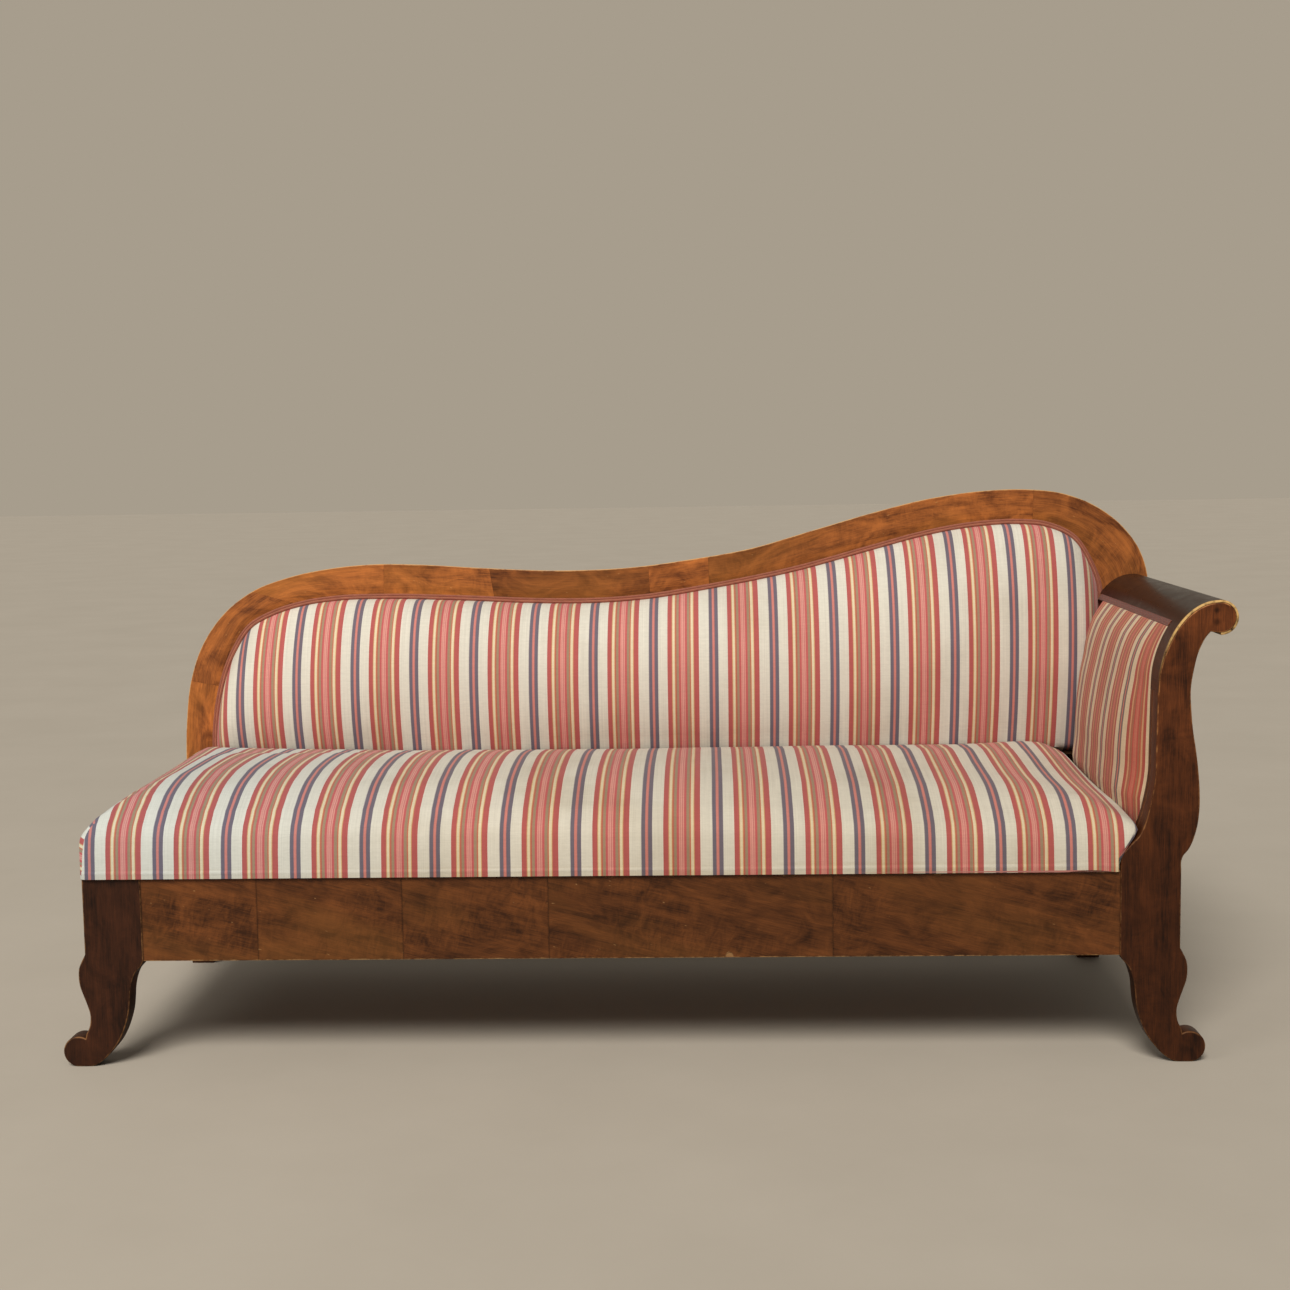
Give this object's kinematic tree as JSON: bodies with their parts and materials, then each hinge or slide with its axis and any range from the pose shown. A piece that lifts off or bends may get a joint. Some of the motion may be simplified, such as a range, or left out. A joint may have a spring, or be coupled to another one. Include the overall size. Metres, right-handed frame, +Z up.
{
  "type": "fainting couch",
  "caption": "Fainting couch with a show-wood frame, one scrolled arm, a raked back under a swept crest and a loose sprung seat in striped covers.",
  "frame": {"origin": "bottom centre of the couch's box, on the floor between its feet", "axes": "+X along the couch towards its scrolled arm, +Y from its front to its back, +Z up"},
  "size_m": [2.042, 0.728, 0.9755],
  "materials": {
    "post_wood": "french-polished walnut, dark reddish brown, worn to pale wood at the toes",
    "rail_veneer": "book-matched walnut veneer, mid to dark brown, french polished",
    "carcass_wood": "bare softwood, planed",
    "crest_wood": "polished walnut edge",
    "crest_veneer": "golden amber figured walnut veneer with dark streaks, french polished",
    "cap_wood": "very dark glossy bent veneer",
    "dowel_wood": "bare beech",
    "seat_frame_wood": "bare beech, planed",
    "screw_brass": "aged",
    "webbing": "woven jute webbing",
    "hessian": "open jute weave",
    "stuffing": "hair and wadding",
    "striped_cover": "cream upholstery cloth with woven red, gold and navy stripes",
    "gimp_braid": "brown-red braid",
    "back_lining": "plain cotton lining",
    "spring_steel": "oiled wire",
    "tack_iron": "blued iron"
  },
  "bodies": {
    "frame": {"front_left_leg": "post_wood", "front_right_post": "post_wood", "rear_left_leg": "post_wood", "rear_right_leg": "post_wood", "front_rail": "carcass_wood", "front_rail_veneer": "rail_veneer", "rear_rail": "carcass_wood", "left_end_rail": "rail_veneer", "right_end_rail": "rail_veneer", "rail_dowels": "dowel_wood", "corner_blocks": "carcass_wood", "corner_block_screws": "screw_brass", "cross_stretchers": "carcass_wood", "seat_bearer": "carcass_wood", "back_left_stile": "crest_wood", "back_crest_left": "crest_wood", "back_crest_right": "crest_wood", "back_right_stile": "crest_wood", "back_bottom_rail": "carcass_wood", "back_veneer": "crest_veneer", "back_dowels": "dowel_wood", "back_webbing": "webbing", "back_hessian": "hessian", "back_stuffing": "stuffing", "back_cover": "striped_cover", "back_gimp": "gimp_braid", "back_rear_lining": "back_lining", "arm_front_former": "post_wood", "arm_front_batten": "carcass_wood", "arm_rear_board": "carcass_wood", "arm_bottom_rail": "carcass_wood", "arm_top_rail": "carcass_wood", "arm_cap": "cap_wood", "arm_webbing": "webbing", "arm_stuffing": "stuffing", "arm_cover": "striped_cover", "arm_gimp": "gimp_braid", "outer_arm_cover": "striped_cover"},
    "seat": {"seat_front_rail": "seat_frame_wood", "seat_rear_rail": "seat_frame_wood", "seat_left_rail": "seat_frame_wood", "seat_right_rail": "seat_frame_wood", "seat_cross_rails": "seat_frame_wood", "seat_dowels": "dowel_wood", "seat_cleats": "seat_frame_wood", "seat_webbing": "webbing", "seat_springs": "spring_steel", "seat_hessian": "hessian", "seat_stuffing": "stuffing", "seat_cover": "striped_cover", "seat_tacks": "tack_iron"}
  },
  "joints": [
    {"name": "seat_lift", "type": "slide", "parent": "frame", "child": "seat", "axis": [0, -0.2079, 0.9781], "range_m": [0, 0.3]}
  ]
}
